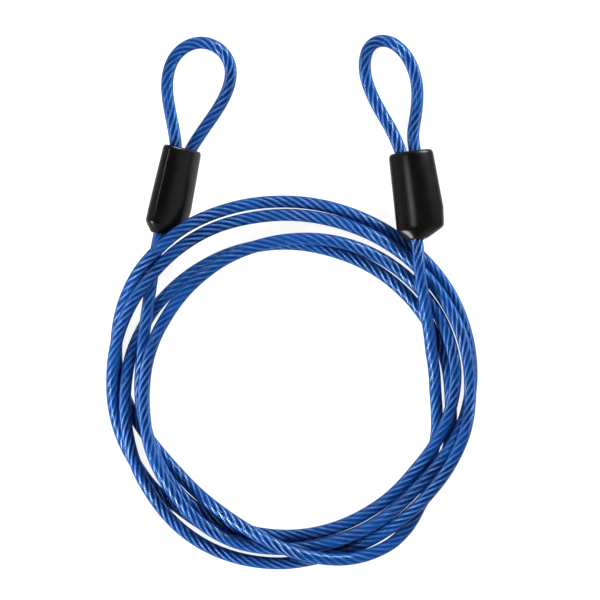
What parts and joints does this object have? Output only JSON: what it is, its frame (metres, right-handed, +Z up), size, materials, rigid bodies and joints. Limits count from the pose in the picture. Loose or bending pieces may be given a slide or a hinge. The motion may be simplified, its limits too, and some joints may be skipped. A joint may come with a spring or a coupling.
{
  "type": "cable lock",
  "caption": "Coated wire-rope security cable with a crimped eye at each end under moulded sleeves, lying in a loose coil.",
  "frame": {"origin": "middle of the footprint, on the surface that the cable lies on", "axes": "+Z up from the floor; +Y from the coil towards the two eyes; +X to the right seen from above"},
  "size_m": [0.1519, 0.2184, 0.0176],
  "materials": {
    "jacket": "glossy translucent blue coating over the rope",
    "rope": "galvanised wire rope",
    "ferrule": "pressed",
    "sleeve": "soft sheen black moulding"
  },
  "bodies": {
    "root": {"jacket_main": "jacket", "jacket_eye_left": "jacket", "jacket_eye_right": "jacket", "rope_main": "rope", "rope_eye_left": "rope", "rope_eye_right": "rope", "ferrule_left": "ferrule", "ferrule_right": "ferrule", "sleeve_left": "sleeve", "sleeve_right": "sleeve"}
  },
  "joints": []
}
